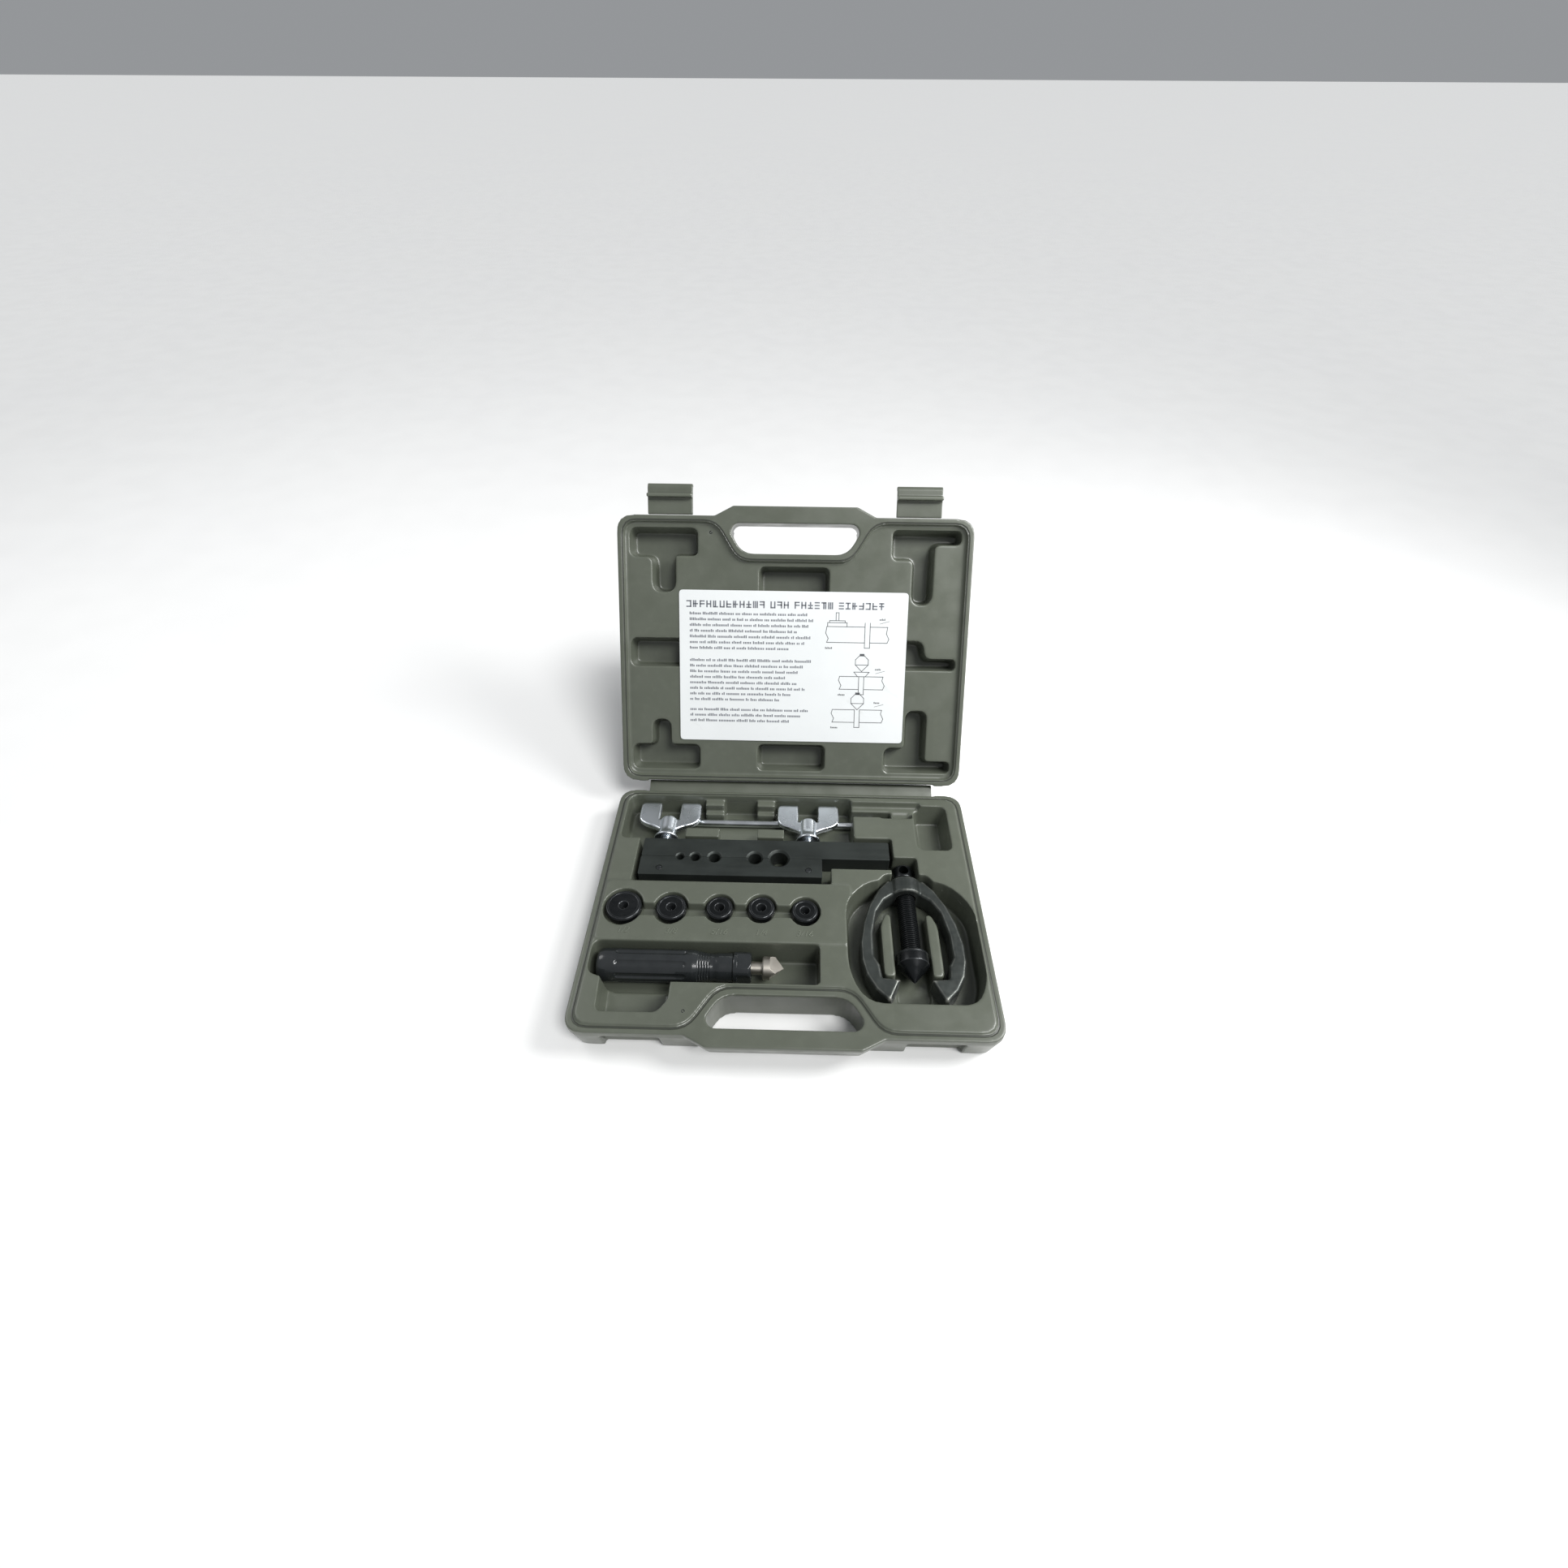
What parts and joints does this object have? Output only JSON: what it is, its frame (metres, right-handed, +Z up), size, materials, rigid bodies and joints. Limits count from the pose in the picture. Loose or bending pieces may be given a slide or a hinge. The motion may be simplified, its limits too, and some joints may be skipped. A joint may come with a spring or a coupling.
{
  "type": "flaring tool kit",
  "caption": "Double flaring kit in an open moulded case: clamping bars with wing nuts, yoke with feed screw and cone, T-handle, size adapters and a reamer.",
  "frame": {"origin": "middle of the flat underside of the case base", "axes": "+X to the right along the case's width as seen from the handle side, +Y from the handle side towards the lid hinge, +Z up"},
  "size_m": [0.27, 0.352, 0.2137],
  "materials": {
    "case_plastic": "satin blow-moulded polyethylene, olive grey",
    "label_sheet": "printed off-white label film",
    "black_oxide_steel": "black oxide, satin",
    "forged_steel": "blackened drop forging with worn edges",
    "zinc_steel": "bright zinc plate",
    "bright_steel": "turned and ground, bare",
    "black_plastic": "glossy moulded"
  },
  "bodies": {
    "base": {"case_base": "case_plastic"},
    "hinge": {"hinge_strip": "case_plastic"},
    "lid": {"case_lid": "case_plastic", "instruction_label": "label_sheet"},
    "latch_a": {"latch_left": "case_plastic"},
    "latch_b": {"latch_right": "case_plastic"},
    "die_bar": {"long_bar": "black_oxide_steel"},
    "jaw": {"short_bar": "black_oxide_steel", "stud_left": "zinc_steel", "stud_right": "zinc_steel", "cross_pin_left": "black_oxide_steel", "cross_pin_right": "black_oxide_steel"},
    "nut_a": {"wing_nut_left": "zinc_steel"},
    "nut_b": {"wing_nut_right": "zinc_steel"},
    "rod": {"t_handle": "zinc_steel"},
    "yoke": {"yoke_frame": "forged_steel"},
    "cone": {"swivel_cone": "black_oxide_steel", "swivel_retainer": "bright_steel"},
    "screw": {"feed_screw": "black_oxide_steel"},
    "size_1_2": {"adapter_1_2": "black_oxide_steel"},
    "size_3_8": {"adapter_3_8": "black_oxide_steel"},
    "size_5_16": {"adapter_5_16": "black_oxide_steel"},
    "size_1_4": {"adapter_1_4": "black_oxide_steel"},
    "size_3_16": {"adapter_3_16": "black_oxide_steel"},
    "reamer": {"reamer_handle": "black_plastic", "reamer_ferrule": "black_plastic", "reamer_blade": "bright_steel"}
  },
  "joints": [
    {"name": "strip_fold", "type": "hinge", "parent": "base", "child": "hinge", "pos_m": [0, 0.102, 0.0183], "axis": [-1, 0, 0], "range_deg": [-62.15, 0]},
    {"name": "lid_fold", "type": "hinge", "parent": "hinge", "child": "lid", "pos_m": [0, 0.11411, 0.0247], "axis": [-1, 0, 0], "range_deg": [-62.15, 0]},
    {"name": "latch_left_fold", "type": "hinge", "parent": "lid", "child": "latch_a", "pos_m": [-0.0945, 0.22825, 0.19681], "axis": [-1, 0, 0], "range_deg": [-90, 0]},
    {"name": "latch_right_fold", "type": "hinge", "parent": "lid", "child": "latch_b", "pos_m": [0.093, 0.22825, 0.19681], "axis": [-1, 0, 0], "range_deg": [-90, 0]},
    {"name": "bar_lift", "type": "slide", "parent": "base", "child": "die_bar", "axis": [0, 0, 1], "range_m": [0, 0.04]},
    {"name": "jaw_slide", "type": "slide", "parent": "die_bar", "child": "jaw", "axis": [0, -1, 0], "range_m": [0, 0.0025]},
    {"name": "nut_left_turn", "type": "hinge", "parent": "jaw", "child": "nut_a", "pos_m": [-0.094, 0.0554, 0.018], "axis": [0, 1, 0], "range_deg": [-5, 5]},
    {"name": "nut_right_turn", "type": "hinge", "parent": "jaw", "child": "nut_b", "pos_m": [0.0145, 0.0554, 0.018], "axis": [0, 1, 0], "range_deg": [-5, 5]},
    {"name": "handle_slide", "type": "slide", "parent": "base", "child": "rod", "axis": [1, 0, 0], "range_m": [0, 0.01]},
    {"name": "yoke_lift", "type": "slide", "parent": "base", "child": "yoke", "axis": [0, 0, 1], "range_m": [0, 0.04]},
    {"name": "cone_feed", "type": "slide", "parent": "yoke", "child": "cone", "axis": [0, -1, 0], "range_m": [0, 0.00249]},
    {"name": "screw_turn", "type": "hinge", "parent": "cone", "child": "screw", "pos_m": [0.0843, 0, 0.0148], "axis": [0, -1, 0], "range_deg": [0, 565]},
    {"name": "adapter_1_2_lift", "type": "slide", "parent": "base", "child": "size_1_2", "axis": [0, 0, 1], "range_m": [0, 0.025]},
    {"name": "adapter_3_8_lift", "type": "slide", "parent": "base", "child": "size_3_8", "axis": [0, 0, 1], "range_m": [0, 0.025]},
    {"name": "adapter_5_16_lift", "type": "slide", "parent": "base", "child": "size_5_16", "axis": [0, 0, 1], "range_m": [0, 0.025]},
    {"name": "adapter_1_4_lift", "type": "slide", "parent": "base", "child": "size_1_4", "axis": [0, 0, 1], "range_m": [0, 0.025]},
    {"name": "adapter_3_16_lift", "type": "slide", "parent": "base", "child": "size_3_16", "axis": [0, 0, 1], "range_m": [0, 0.025]},
    {"name": "reamer_lift", "type": "slide", "parent": "base", "child": "reamer", "axis": [0, 0, 1], "range_m": [0, 0.035]}
  ],
  "couplings": [
    {"joint": "lid_fold", "follows": "strip_fold", "ratio": 1},
    {"joint": "screw_turn", "follows": "cone_feed", "rad_per_m": 3957.9}
  ]
}
